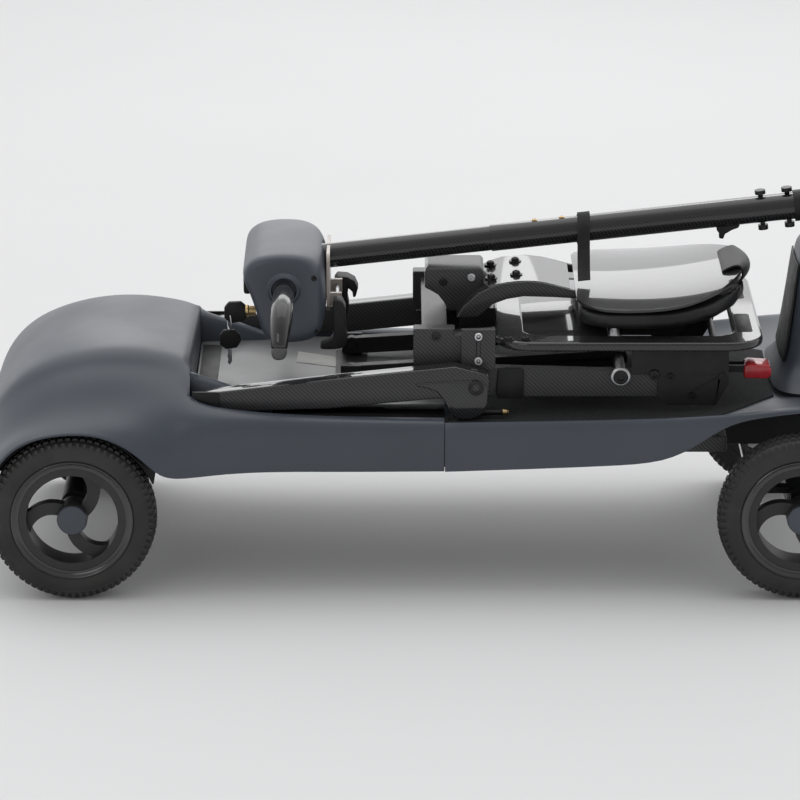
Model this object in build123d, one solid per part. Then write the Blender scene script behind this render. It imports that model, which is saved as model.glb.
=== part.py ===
from build123d import *
import math
import os

# Folding four-wheel mobility scooter, folded flat. Millimetres, +X forward, +Y to the left, +Z up.
# The origin is on the ground, midway between the axles.

# Wheels and running gear
WHEELBASE = 860
WHEEL_R = 100
TYRE_WIDTH = 45
OUTER_FACE = 235            # outer face of the tyres, from the centre plane
RIM_R = 71
RIM_INNER_R = 54
HUB_R = 18
AXLE_Z = WHEEL_R
REAR_X = -WHEELBASE / 2
FRONT_X = WHEELBASE / 2
SHAFT_R = 6
FIT = 0.05                  # radial clearance of a shaft in its bore
KINGPIN_Y = 160
STEER_ARM = 55              # steering arms reach this far behind their pivots

# Chassis and shells
PAN_Z0, PAN_Z1 = 158, 178
PAN_HALF = 150
DECK_Z = 200
SHELL_HALF = 204
WALL = 4
SEAM_X = 10                 # joint between the rear shell and the front shell
HOOD_X0, HOOD_X1 = -545, -290
SKIRT_Z = 150
FLOOR_Z = 216               # top of the panel over the battery

# Steering column and tiller
COLUMN_X = 490
STEM_R = 12.5
HINGE = (518, 431.6)        # tiller hinge, x and z
TILLER_R = 15
TILLER_SLOPE = math.atan2(62, 560)
COLLAR_R = 19
HEAD_HALF = 92
HANDLE_R = 12.5
HANDLE_TIP_Y = 206

# Seat lift: an exact parallelogram of arms and links
ARM_FOOT = (-274.8, 225)    # rear pivot of the arms
ARM_HEAD = (46, 245)        # where the arms carry the seat
LINK_FOOT = (-103, 230)     # rear pivot of the front links
ARM_VEC = (ARM_HEAD[0] - ARM_FOOT[0], ARM_HEAD[1] - ARM_FOOT[1])
LINK_HEAD = (LINK_FOOT[0] + ARM_VEC[0], LINK_FOOT[1] + ARM_VEC[1])
ARM_Y0, ARM_Y1 = 148, 172
LINK_Y = 60
CARRIER_Y0, CARRIER_Y1 = 122, 138
TRAY_X0, TRAY_X1 = 70, 387
TRAY_Z0, TRAY_Z1 = 285, 296
TRAY_HALF = 160

parts = {}


def block(x0, x1, y0, y1, z0, z1):
    """A box from its two corners."""
    return Pos((x0 + x1) / 2, (y0 + y1) / 2, (z0 + z1) / 2) * Box(x1 - x0, y1 - y0, z1 - z0)


def rod(start, end, radius):
    """A round bar between two points."""
    start, end = Vector(*start), Vector(*end)
    plane = Plane(origin=start, z_dir=(end - start))
    return plane * extrude(Circle(radius), (end - start).length)


def cross_rod(centre, y0, y1, radius):
    """A round bar across the scooter at an x, z place."""
    return rod((centre[0], y0, centre[1]), (centre[0], y1, centre[1]), radius)


def side_plate(points, y0, y1):
    """An x, z outline given thickness across the scooter."""
    face = Plane(origin=(0, y1, 0), x_dir=(1, 0, 0), z_dir=(0, -1, 0)) * make_face(
        Polyline(*points, close=True))
    return extrude(face, y1 - y0, dir=(0, -1, 0))


def section(points, y):
    """An x, z outline as a face standing at one y."""
    return Plane(origin=(0, y, 0), x_dir=(1, 0, 0), z_dir=(0, -1, 0)) * make_face(
        Polyline(*points, close=True))


def both_sides(solid):
    """A piece and its mirror image on the other side, as two solids."""
    return Compound([solid, mirror(solid, about=Plane.XZ)])


def along_tiller(distance, up=0):
    """A point on the tiller's axis, measured back from the hinge, and raised across the axis."""
    c, s = math.cos(TILLER_SLOPE), math.sin(TILLER_SLOPE)
    return (HINGE[0] - distance * c - up * s, 0, HINGE[1] - distance * s + up * c)


# ---------------------------------------------------------------- wheels
def wheel_tyre(side):
    """A solid puncture-proof tyre on the rim's seat, with rounded shoulders."""
    tyre = Cylinder(WHEEL_R, TYRE_WIDTH) - Cylinder(RIM_R, TYRE_WIDTH + 2)
    outer = tyre.edges().filter_by(GeomType.CIRCLE).sort_by(lambda e: -e.length)[:2]
    tyre = fillet(outer, 9)
    return Pos(0, side * (OUTER_FACE - TYRE_WIDTH / 2), 0) * Rot(90, 0, 0) * tyre


def wheel_rim(side, bore_r, drive_stub):
    """A cast rim with three swept spokes, a hub and a domed cap over the end of its axle."""
    width, spoke_t, spoke_w, sweep_r = 37, 15, 15, 34
    ring = Cylinder(RIM_R, width) - Cylinder(RIM_INNER_R, width + 2)
    hub = Cylinder(HUB_R, width)
    zone = Cylinder(RIM_INNER_R + 3, spoke_t) - Cylinder(HUB_R - 3, spoke_t + 2)
    bend = Pos(0, sweep_r, 0) * (Cylinder(sweep_r + spoke_w / 2, spoke_t)
                                 - Cylinder(sweep_r - spoke_w / 2, spoke_t + 2))
    bend = bend & Pos(sweep_r, sweep_r, 0) * Box(2 * sweep_r, 2 * sweep_r + spoke_w, spoke_t)
    rim = ring + hub
    for turn in range(3):
        rim = rim + Rot(0, 0, 120 * turn + 15) * (bend & zone)
    cap = 6
    if drive_stub:
        rim = rim + Pos(0, 0, -(width / 2 + 55)) * Cylinder(bore_r, 112)
    else:
        rim = rim - Pos(0, 0, -cap) * Cylinder(bore_r + FIT, width)
    return Pos(0, side * (OUTER_FACE - TYRE_WIDTH / 2), 0) * Rot(-90 * side, 0, 0) * rim


def wheels():
    drive_r = 7
    for end, x in (("front", FRONT_X), ("rear", REAR_X)):
        for name, side in (("left", 1), ("right", -1)):
            place = Pos(x, 0, AXLE_Z)
            parts[f"tyre_{end}_{name}"] = place * wheel_tyre(side)
            rear = end == "rear"
            rim = wheel_rim(side, drive_r if rear else SHAFT_R, rear)
            parts[f"rim_{end}_{name}"] = place * rim


# ---------------------------------------------------------------- chassis
def chassis():
    pan = block(-455, 345, -PAN_HALF, PAN_HALF, PAN_Z0, PAN_Z1)
    parts["chassis_pan"] = pan
    parts["battery_pack"] = fillet(
        block(-268, -62, -110, 110, PAN_Z1, 211).edges().filter_by(Axis.Z), 12)
    parts["motor_controller"] = fillet(
        block(30, 170, -45, 45, PAN_Z1, 193).edges().filter_by(Axis.Z), 6)

    web0, web1 = 48, 62
    subframe = block(345, 516, -web1, web1, 140, PAN_Z1)
    subframe = subframe - rod((COLUMN_X, 0, 139), (COLUMN_X, 0, 179), STEM_R + 1)
    subframe = subframe - block(351, 462, -web0 + 4, web0 - 4, 146, 172)
    for side in (-1, 1):
        y0, y1 = sorted((side * web0, side * web1))
        subframe = subframe + block(FRONT_X - 15, FRONT_X + 15, y0, y1, 112, 140)
    parts["front_subframe"] = subframe

    beam = block(FRONT_X - 12, FRONT_X + 12, -KINGPIN_Y + 8, KINGPIN_Y - 8, 88, 112)
    for side in (-1, 1):
        y = side * KINGPIN_Y
        beam = beam + rod((FRONT_X, y, 88), (FRONT_X, y, 112), 12)
    for side in (-1, 1):
        y = side * KINGPIN_Y
        beam = beam - rod((FRONT_X, y, 80), (FRONT_X, y, 120), SHAFT_R + FIT)
    parts["front_axle_beam"] = beam

    housing = cross_rod((REAR_X, AXLE_Z), -172, 172, 17)
    for side in (-1, 1):
        y0, y1 = sorted((side * 62, side * 86))
        housing = housing + block(REAR_X - 15, REAR_X + 15, y0, y1, AXLE_Z, PAN_Z0)
    gearcase = side_plate([(-462, 84), (-452, 68), (-408, 68), (-352, 96), (-344, 122), (-352, 146),
                           (-378, 152), (-412, 134), (-450, 132), (-462, 118)], 20, 56)
    housing = housing + gearcase
    parts["axle_housing"] = housing - cross_rod((REAR_X, AXLE_Z), -180, 180, 7 + FIT)

    motor = cross_rod((-372, 120), -72, 20, 31) + cross_rod((-372, 120), -82, -72, 24)
    parts["drive_motor"] = motor


# ---------------------------------------------------------------- shells
HOOD_CENTRE = [(-545, 185), (-530, 212), (-503, 238), (-465, 264), (-420, 276), (-370, 279),
               (-320, 275), (-290, 268)]
HOOD_SHOULDER = [(-545, 168), (-530, 190), (-503, 215), (-465, 236), (-420, 246), (-370, 246),
                 (-320, 240), (-290, 236)]
HOOD_EDGE = [(-545, 135), (-530, 168), (-503, 200), (-465, 218), (-420, 223), (-370, 216),
             (-320, 202), (-290, 192)]
HOOD_BOTTOM = 130


def hood_outline(top, inset):
    """A hood section: its top line over a straight bottom, brought inside by a wall."""
    line = [(min(max(x, HOOD_X0 + inset), HOOD_X1 - inset), z - inset) for x, z in top]
    low = HOOD_BOTTOM - (5 if inset else 0)
    return [(HOOD_X0 + inset, low)] + line + [(HOOD_X1 - inset, low)]


def hood_body(inset):
    stations = [(HOOD_EDGE, OUTER_FACE), (HOOD_SHOULDER, 170), (HOOD_CENTRE, 118)]
    rows = [(top, -(y - inset)) for top, y in stations]
    rows = rows + [(top, y - inset) for top, y in reversed(stations)]
    faces = [section(hood_outline(top, inset), y) for top, y in rows]
    return loft(faces, ruled=True)


def shells():
    hood = hood_body(0) - hood_body(WALL)
    for side in (-1, 1):
        y0, y1 = sorted((side * 186, side * 240))
        hood = hood - cross_rod((REAR_X, AXLE_Z), y0, y1, WHEEL_R + 13)
    hood = hood - block(HOOD_X0 - 5, HOOD_X1 + 5, -240, 240, 0, HOOD_BOTTOM + 6)
    hood = hood - block(-300, HOOD_X1 + 5, -PAN_HALF - 1, PAN_HALF + 1, HOOD_BOTTOM, PAN_Z1 + 1)
    parts["rear_hood"] = max(hood.solids(), key=lambda s: s.volume)

    inner = SHELL_HALF - 28
    skirt = block(HOOD_X1, SEAM_X, SHELL_HALF - WALL, SHELL_HALF, SKIRT_Z, 214)
    skirt = skirt + block(HOOD_X1, SEAM_X, inner, SHELL_HALF, 214 - WALL, 214)
    parts["rear_skirts"] = both_sides(skirt)

    deck = block(SEAM_X, 341, -SHELL_HALF, SHELL_HALF, DECK_Z - WALL, DECK_Z)
    for side in (-1, 1):
        y0, y1 = sorted((side * (SHELL_HALF - WALL), side * SHELL_HALF))
        deck = deck + side_plate([(SEAM_X, SKIRT_Z), (240, 158), (274, 162), (336, DECK_Z),
                                  (SEAM_X, DECK_Z)], y0, y1)
    parts["front_shell"] = deck

    mat = block(SEAM_X + 6, 338, -186, 186, DECK_Z, DECK_Z + 3.5)
    parts["deck_mat"] = fillet(mat.edges().filter_by(Axis.Z), 10)

    panel = block(HOOD_X1, SEAM_X, -144, 144, FLOOR_Z - WALL, FLOOR_Z)
    parts["floor_panel"] = panel

    fender = side_plate([(342, 200), (427, 213), (505, 213), (545, 192), (545, 202), (507, 223),
                         (427, 223), (342, 210)], -SHELL_HALF, SHELL_HALF)
    fender = fender - rod((COLUMN_X, 0, 180), (COLUMN_X, 0, 240), 24)
    parts["front_fender"] = fender

    outline = [(416, 223), (431, 381), (513, 381), (542, 223)]
    hollow = [(420, 222), (435, 377), (510, 377), (537, 222)]
    cowl = side_plate(outline, -52, 52) - side_plate(hollow, -48, 48)
    cowl = cowl - block(505, 560, -60, 60, 200, 225)
    cowl = cowl - rod((COLUMN_X, 0, 370), (COLUMN_X, 0, 390), 21)
    parts["front_cowl"] = cowl


# ---------------------------------------------------------------- steering
def knuckle(side):
    """A C-shaped stub axle carrier on its kingpin, with a steering arm and its pin."""
    y = side * KINGPIN_Y
    piece = rod((FRONT_X, y, 80), (FRONT_X, y, 120), SHAFT_R)
    y0, y1 = sorted((y - side * 10, y + side * 20))
    piece = piece + block(FRONT_X - 10, FRONT_X + 10, y0, y1, 112.3, 120)
    piece = piece + block(FRONT_X - 10, FRONT_X + 10, y0, y1, 80, 87.7)
    y0, y1 = sorted((y + side * 14, y + side * 20))
    piece = piece + block(FRONT_X - 10, FRONT_X + 10, y0, y1, 80, 120)
    y0, y1 = sorted((y + side * 20, y + side * 64))
    piece = piece + cross_rod((FRONT_X, AXLE_Z), y0, y1, SHAFT_R)
    piece = piece + block(FRONT_X - STEER_ARM, FRONT_X, y - 8, y + 8, 112.3, 120)
    piece = piece + rod((FRONT_X - STEER_ARM, y, 112.3), (FRONT_X - STEER_ARM, y, 132), 4)
    return piece


def steering():
    parts["column_tube"] = (rod((COLUMN_X, 0, PAN_Z1), (COLUMN_X, 0, 376), 20)
                            - rod((COLUMN_X, 0, 170), (COLUMN_X, 0, 380), 16))
    rings = []
    for low in (PAN_Z1 + 2, 364):
        rings.append(rod((COLUMN_X, 0, low), (COLUMN_X, 0, low + 10), 16)
                     - rod((COLUMN_X, 0, low - 1), (COLUMN_X, 0, low + 11), STEM_R + FIT))
    parts["column_bearings"] = Compound(rings)

    pitman_x = COLUMN_X - STEER_ARM
    stem = rod((COLUMN_X, 0, 130), (COLUMN_X, 0, 390), STEM_R)
    stem = stem + block(pitman_x, COLUMN_X, -8, 8, 130, 137)
    stem = stem + rod((pitman_x, 0, 120.5), (pitman_x, 0, 137), 4)
    parts["steering_stem"] = stem

    parts["knuckle_left"] = knuckle(1)
    parts["knuckle_right"] = knuckle(-1)
    rod_x, z0, z1, eye_r = FRONT_X - STEER_ARM, 121, 129, 9
    tie = block(rod_x - 5, rod_x + 5, -KINGPIN_Y, KINGPIN_Y, z0, z1)
    tie = tie + block(rod_x, pitman_x, -5, 5, z0, z1)
    pins = [(rod_x, KINGPIN_Y), (rod_x, -KINGPIN_Y), (pitman_x, 0)]
    for x, y in pins:
        tie = tie + rod((x, y, z0), (x, y, z1), eye_r)
    for x, y in pins:
        tie = tie - rod((x, y, z0 - 1), (x, y, z1 + 1), 4.3)
    parts["tie_rod"] = tie

    cheek = [(476, 390), (530, 390), (533, HINGE[1] - 4), (503, HINGE[1] - 4)]
    fork = block(474, 532, -24, 24, 390, 402)
    for side in (-1, 1):
        y0, y1 = sorted((side * 16, side * 24))
        fork = fork + side_plate(cheek, y0, y1) + cross_rod(HINGE, y0, y1, 15)
    fork = fork - cross_rod(HINGE, -30, 30, SHAFT_R)
    parts["hinge_fork"] = fork
    pin = cross_rod(HINGE, -24, 24, SHAFT_R)
    parts["hinge_pin"] = pin + cross_rod(HINGE, -27, -24, 9) + cross_rod(HINGE, 24, 27, 9)


# ---------------------------------------------------------------- tiller and control head
HEAD_OUTLINE = [(-228, 372), (-216, 383), (-150, 385), (-134, 376), (-132, 305), (-150, 276),
                (-170, 273), (-210, 273), (-228, 288)]
HEAD_MIDDLE = (-180, 330)


def head_body(inset):
    """The head's casing: full in the middle, drawn in towards its two ends."""
    rows = []
    for y, scale in ((-HEAD_HALF, 0.8), (-74, 1), (74, 1), (HEAD_HALF, 0.8)):
        y = y - inset if y > 0 else y + inset
        points = []
        for x, z in HEAD_OUTLINE:
            dx, dz = (x - HEAD_MIDDLE[0]) * scale, (z - HEAD_MIDDLE[1]) * scale
            reach = 1 - inset / math.hypot(dx, dz)
            points.append((HEAD_MIDDLE[0] + dx * reach, HEAD_MIDDLE[1] + dz * reach))
        rows.append(section(points, y))
    return loft(rows, ruled=True)


def handle(side):
    """A bull-horn grip: straight out of the head, then bent down to its tip."""
    path = FilletPolyline((-182, side * 70, 343), (-182, side * 188, 340),
                          (-182, side * HANDLE_TIP_Y, 306), radius=24)
    start = Plane(origin=path @ 0, z_dir=path % 0)
    return sweep(start * Circle(HANDLE_R), path), path


def tiller():
    tube_end, tube_start = 40, 671
    tube = rod(along_tiller(tube_end), along_tiller(tube_start), TILLER_R)
    tube = tube + rod(along_tiller(tube_end), along_tiller(455), TILLER_R + 1.2)
    tube = tube - rod(along_tiller(tube_end - 1), along_tiller(tube_start + 1), TILLER_R - 2)

    bolts = []
    for back in (95, 127):
        shank = rod(along_tiller(back, -24), along_tiller(back, 22), 3)
        head = rod(along_tiller(back, 19), along_tiller(back, 24), 6.5)
        nut = rod(along_tiller(back, -25), along_tiller(back, -19), 6)
        bolts.append(shank + head + nut)
    parts["tiller_bolts"] = Compound(bolts)

    tongue = side_plate([(HINGE[0] - 40, HINGE[1] - 17), (HINGE[0], HINGE[1] - 14),
                         (HINGE[0], HINGE[1] + 14), (HINGE[0] - 40, HINGE[1] + 9)], -15.5, 15.5)
    collar = rod(along_tiller(24), along_tiller(88), COLLAR_R) + tongue
    collar = collar + cross_rod(HINGE, -15.5, 15.5, 14)
    collar = collar - rod(along_tiller(tube_end), along_tiller(90), TILLER_R + 1.2)
    collar = collar - cross_rod(HINGE, -20, 20, SHAFT_R + FIT)
    parts["hinge_block"] = collar
    for bolt in bolts:
        tube = tube - bolt
    parts["tiller_tube"] = tube

    strap_back = 318
    band = rod(along_tiller(strap_back - 10), along_tiller(strap_back + 10), TILLER_R + 3.5)
    band = band - rod(along_tiller(strap_back - 11), along_tiller(strap_back + 11), TILLER_R + 1.4)
    x, _, z = along_tiller(strap_back)
    tail = block(x - 10, x + 10, -(TILLER_R + 5), -(TILLER_R + 3), 350, z)
    parts["tiller_strap"] = band + tail

    left, left_path = handle(1)
    right, right_path = handle(-1)
    parts["handles"] = Compound([left, right])
    caps = []
    for path in (left_path, right_path):
        tip, way = path @ 1, path % 1
        caps.append(rod(tip, tip + way * 12, HANDLE_R + 1))
    parts["handle_caps"] = Compound(caps)

    casing = head_body(0) - head_body(WALL)
    casing = casing - left - right - rod(along_tiller(600), along_tiller(tube_start), TILLER_R)
    bore = FIT + 0.2
    casing = casing - rod((-230, 45, 335), (-215, 45, 335), 7 + bore)
    casing = casing - rod((-230, -48, 338), (-215, -48, 338), 3 + bore)
    casing = casing - rod((-230, -20, 296), (-215, -20, 296), 6 + bore)
    parts["control_head"] = casing

    plate = block(-131.9, -128, -52, 52, 303, 374)
    plate = fillet(plate.edges().filter_by(Axis.X), 10)
    plate = plate - rod(along_tiller(600), along_tiller(tube_start), TILLER_R)
    for side in (-1, 1):
        y0, y1 = sorted((side * 28, side * 34))
        plate = plate + block(-128, -114, y0, y1, 306, 322)
    plate = plate - cross_rod((-120, 314), -40, 40, 3 + FIT)
    parts["head_plate"] = plate

    throttle = cross_rod((-120, 314), -62, 62, 3)
    paddle_outline = [(-123.5, 320), (-114, 320), (-106, 292), (-103, 268), (-110, 263),
                      (-124, 268), (-124, 296)]
    for side in (-1, 1):
        y0, y1 = sorted((side * 42, side * 72))
        throttle = throttle + side_plate(paddle_outline, y0, y1)
    parts["throttle_lever"] = throttle

    parts["horn_button"] = rod((-232, 45, 335), (-222, 45, 335), 7)
    dial = rod((-238, -48, 338), (-228.4, -48, 338), 13)
    parts["speed_dial"] = dial + rod((-238, -48, 338), (-216, -48, 338), 3)

    key = rod((-235, -20, 296), (-218, -20, 296), 6)
    bow = block(-262, -235, -24, -16, 283, 309) - cross_rod((-254, 296), -30, -10, 4)
    parts["ignition_key"] = key + bow
    ring = Pos(-254, -20, 287.5) * Rot(0, 90, 0) * Torus(10.5, 0.9)
    spare = block(-266, -244, -23, -17, 251, 273.5)
    spare = spare + block(-257, -252, -21.5, -18.5, 228, 251)
    spare = spare - Pos(-254, -20, 287.5) * Rot(0, 90, 0) * Torus(10.5, 1.4)
    parts["key_ring"] = Compound([ring, max(spare.solids(), key=lambda s: s.volume)])


# ---------------------------------------------------------------- seat lift
def lift_arm(side):
    """A carbon box arm, tapered to its rear pivot, with a foot lug under the seat pivot."""
    outline = [(-275, 213), (-126.6, 218.5), (3.5, 231.4), (22, 207), (42, 207), (62, 232),
               (62, 262), (21, 270), (-126.6, 254.4), (-275, 237)]
    y0, y1 = sorted((side * ARM_Y0, side * ARM_Y1))
    arm = side_plate(outline, y0, y1) + cross_rod(ARM_FOOT, y0, y1, 12)
    for pivot in (ARM_FOOT, ARM_HEAD):
        arm = arm - cross_rod(pivot, y0 - 1, y1 + 1, SHAFT_R + FIT)
    return arm


def seat_lift():
    arms = {1: "lift_arm_left", -1: "lift_arm_right"}
    bolt = rod((30, 160, 211), (84, 160, 211), 3.4) + rod((51, 160, 211), (59, 160, 211), 4.4)
    for side, name in arms.items():
        hole = rod((29, side * 160, 211), (85, side * 160, 211), 3.4)
        parts[name] = lift_arm(side) - hole
    parts["stop_bolts"] = both_sides(bolt)

    bracket = block(-289, -258, ARM_Y1 + 0.5, ARM_Y1 + 3.5, 184, 240)
    bracket = bracket + block(-289, -258, 118, ARM_Y1 + 3.5, PAN_Z1, 184)
    bracket = bracket + cross_rod(ARM_FOOT, ARM_Y0 - 2, ARM_Y1 + 3.5, SHAFT_R)
    parts["arm_brackets"] = both_sides(bracket)

    lugs = block(-122, -84, -78, 78, FLOOR_Z, FLOOR_Z + 2)
    for side in (-1, 1):
        y0, y1 = sorted((side * (LINK_Y + 8), side * (LINK_Y + 13)))
        lugs = lugs + block(-115, -91, y0, y1, FLOOR_Z, 242)
        y0, y1 = sorted((side * (LINK_Y - 9), side * (LINK_Y + 13)))
        lugs = lugs + cross_rod(LINK_FOOT, y0, y1, SHAFT_R)
    parts["link_bracket"] = lugs

    bars = []
    for side in (-1, 1):
        y0, y1 = sorted((side * (LINK_Y - 7), side * (LINK_Y + 7)))
        x0, z0 = LINK_FOOT
        x1, z1 = LINK_HEAD
        bar = side_plate([(x0, z0 - 10), (x1, z1 - 10), (x1, z1 + 10), (x0, z0 + 10)], y0, y1)
        bar = bar + cross_rod(LINK_FOOT, y0, y1, 11) + cross_rod(LINK_HEAD, y0, y1, 12)
        bars.append(bar)
    brace_x = LINK_FOOT[0] + 0.35 * ARM_VEC[0]
    brace_z = LINK_FOOT[1] + 0.35 * ARM_VEC[1]
    link = bars[0] + bars[1] + block(brace_x - 20, brace_x + 20, -LINK_Y, LINK_Y,
                                     brace_z - 4, brace_z + 4)
    link = link - cross_rod(LINK_FOOT, -80, 80, SHAFT_R + FIT)
    link = link - cross_rod(LINK_HEAD, -80, 80, 7.4)
    parts["front_link"] = link


def carrier(side):
    """A seat carrier beam with the stub pin that the lift arm turns on."""
    y0, y1 = sorted((side * CARRIER_Y0, side * CARRIER_Y1))
    beam = side_plate([(30, 228), (75, 224), (300, 224), (312, 236), (312, 252), (66, 259),
                       (30, 259)], y0, y1)
    pin0, pin1 = sorted((side * CARRIER_Y1, side * (ARM_Y1 + 3)))
    beam = beam + cross_rod(ARM_HEAD, pin0, pin1, SHAFT_R)
    return beam - cross_rod(LINK_HEAD, y0 - 1, y1 + 1, 7)


def seat():
    parts["carrier_left"] = carrier(1)
    parts["carrier_right"] = carrier(-1)
    shaft = cross_rod(LINK_HEAD, -146, 146, 7)
    for side in (-1, 1):
        y0, y1 = sorted((side * 138, side * 143))
        shaft = shaft + cross_rod(LINK_HEAD, y0, y1, 10)
    parts["link_shaft"] = shaft

    plate = side_plate([(29, 262), (66, 259), (69, 262), (69, 308), (29, 308)], 138, 146)
    for z in (268, 304 - 4):
        plate = plate - cross_rod((49, z), 137, 147, 3)
    parts["link_plates"] = both_sides(plate)

    latch_plate = side_plate([(231, 252), (231, 285), (346, 285), (346, 240), (331, 214), (275, 214),
                              (262, 224), (262, 252)], 138.2, 142.2)
    latch_plate = latch_plate - cross_rod((338, 250), 137, 143, 4 + FIT)
    parts["latch_plates"] = both_sides(latch_plate)

    cross = block(-28, 21, -138, -118, 262, 307) + block(-28, 21, 118, 138, 262, 307)
    cross = cross + block(-18, 12, -118, 118, 284, 298)
    cross = cross + block(21, 40, -138, -124, 266, 300) + block(21, 40, 124, 138, 266, 300)
    parts["seat_crossmember"] = cross

    outer = fillet(block(TRAY_X0, TRAY_X1, -TRAY_HALF, TRAY_HALF, TRAY_Z0, TRAY_Z1)
                   .edges().filter_by(Axis.Z), 42)
    hole = fillet(block(TRAY_X0 + 34, TRAY_X1 - 34, -TRAY_HALF + 34, TRAY_HALF - 34,
                        TRAY_Z0 - 1, TRAY_Z1 + 1).edges().filter_by(Axis.Z), 24)
    parts["seat_tray"] = outer - hole

    arch = [(24, 299), (50, 330), (80, 341), (110, 344), (145, 338), (180, 330), (206, 328),
            (206, 322.6), (162, 322.6), (145, 322), (104, 325), (70, 318), (50, 300)]
    bracket = side_plate(arch, -62, -56) + side_plate(arch, 56, 62)
    top_line = [(24, 299), (50, 330), (80, 341), (110, 344), (145, 338), (150, 336), (150, 332),
                (145, 334), (110, 340), (80, 337), (53, 327), (30, 300)]
    bracket = bracket + side_plate(top_line, -56, 56)
    rear_block = [(-12, 350), (56, 350), (56, 330), (40, 318), (30, 299), (14, 299), (8, 316),
                  (-12, 324)]
    parts["backrest_bracket"] = bracket + side_plate(rear_block, -30, 30)

    pad = block(162, 366, -136, 136, 300, 322)
    pad = fillet(pad.edges().filter_by(Axis.Z), 40)
    parts["backrest_pad"] = fillet(pad.edges().filter_by(GeomType.LINE).sort_by(Axis.Z)[:4], 6)
    shell = side_plate([(152, 322.5), (205, 322.5), (340, 322.5), (366, 330), (372, 348),
                        (360, 354), (352, 338), (330, 331), (200, 326), (152, 328)], -140, 140)
    shell = shell - block(140, 206.5, -62.5, 62.5, 315, 345)
    parts["backrest_shell"] = shell

    lever = block(332, 374, -112, -106, 246, 254) + block(332, 374, -94, -88, 246, 254)
    lever = lever + block(368, 398, -114, -86, 240, 254)
    lever = lever + cross_rod((338, 250), -142.2, 142.2, 4)
    parts["seat_latch"] = lever


wheels()
chassis()
shells()
steering()
tiller()
seat_lift()
seat()

os.makedirs("parts", exist_ok=True)
for name, shape in parts.items():
    export_step(shape, f"parts/{name}.step")
print(len(parts), "nodes")
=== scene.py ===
# A folding mobility scooter, folded flat: its looks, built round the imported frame. Metres.
import bpy
import math
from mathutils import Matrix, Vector


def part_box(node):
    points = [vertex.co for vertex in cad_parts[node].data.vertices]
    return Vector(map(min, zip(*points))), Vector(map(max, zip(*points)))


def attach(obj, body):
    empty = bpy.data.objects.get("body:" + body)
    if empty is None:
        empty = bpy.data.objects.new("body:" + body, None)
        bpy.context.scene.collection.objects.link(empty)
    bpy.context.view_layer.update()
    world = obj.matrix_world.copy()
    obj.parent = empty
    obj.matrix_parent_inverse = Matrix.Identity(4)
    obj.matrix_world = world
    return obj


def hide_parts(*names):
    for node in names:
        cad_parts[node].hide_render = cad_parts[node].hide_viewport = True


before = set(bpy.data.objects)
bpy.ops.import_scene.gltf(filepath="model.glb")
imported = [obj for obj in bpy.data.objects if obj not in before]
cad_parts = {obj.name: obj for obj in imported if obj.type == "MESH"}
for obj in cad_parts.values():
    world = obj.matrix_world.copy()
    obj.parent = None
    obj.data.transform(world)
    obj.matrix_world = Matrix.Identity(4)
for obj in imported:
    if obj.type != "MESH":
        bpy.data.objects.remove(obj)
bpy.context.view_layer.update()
scene = bpy.context.scene

# ------------------ camera
# A long lens, 17 degrees above the floor, square on to the scooter's right side. There are no cords.
VIEW_AIM = Vector((-0.0438, 0, 0.177))
VIEW_DISTANCE = 5.732
VIEW_TILT = math.radians(17)
away = Vector((0, -math.cos(VIEW_TILT), math.sin(VIEW_TILT)))
bpy.ops.object.camera_add(location=VIEW_AIM + away * VIEW_DISTANCE,
    rotation=(math.pi / 2 - VIEW_TILT, 0, 0))
camera = bpy.context.object
camera.data.lens = 211.5
camera.data.sensor_width = 36
camera.data.clip_end = 60
scene.camera = camera


# ------------------ studio
# A pale seamless floor under broad overhead light, with soft boxes at the sides so that the
# lacquered carbon has something to mirror.
def fed(tree, socket, value):
    """A socket takes a value, or a link where the value is a node's output."""
    if hasattr(value, "is_output"):
        tree.links.new(value, socket)
    else:
        socket.default_value = value


def node_link(tree, kind, **settings):
    """A shader node with its settings, and in_0, in_1 and so on for its inputs' values or links."""
    node = tree.nodes.new(kind)
    for key, value in settings.items():
        if key.startswith("in_"):
            fed(tree, node.inputs[int(key[3:])], value)
        else:
            setattr(node, key, value)
    return node


def new_finish(name, rough, metal=0.0, coat=0.0, coat_rough=0.05, spec=0.5):
    """A material with its uniform values on the shader, and its tree and object coordinates."""
    mat = bpy.data.materials.new(name)
    mat.use_nodes = True
    tree = mat.node_tree
    shader = tree.nodes["Principled BSDF"]
    shader.inputs["Roughness"].default_value = rough
    shader.inputs["Metallic"].default_value = metal
    shader.inputs["Coat Weight"].default_value = coat
    shader.inputs["Coat Roughness"].default_value = coat_rough
    shader.inputs["Specular IOR Level"].default_value = spec
    place = tree.nodes.new("ShaderNodeTexCoord").outputs["Object"]
    return mat, tree, shader, place


def ramped(tree, factor, shades, stops=(0, 1)):
    """A colour led between two shades by a factor, from one stop to the other."""
    ramp = node_link(tree, "ShaderNodeValToRGB", in_0=factor)
    for element, shade, stop in zip(ramp.color_ramp.elements, shades, stops):
        element.position = stop
        element.color = (*shade, 1)
    return ramp.outputs["Color"]


def mottled(tree, shader, place, dark, light, scale):
    """The base colour drifts between two shades."""
    noise = node_link(tree, "ShaderNodeTexNoise", in_0=place, in_2=scale, in_3=5.0)
    colour = ramped(tree, noise.outputs["Fac"], (dark, light), (0.35, 0.65))
    tree.links.new(colour, shader.inputs["Base Color"])


def bumped(tree, shader, height, strength, distance):
    """The shader's normal takes a height."""
    bump = node_link(tree, "ShaderNodeBump", in_0=strength, in_1=distance)
    tree.links.new(height, bump.inputs["Height"])
    tree.links.new(bump.outputs["Normal"], shader.inputs["Normal"])


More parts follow.
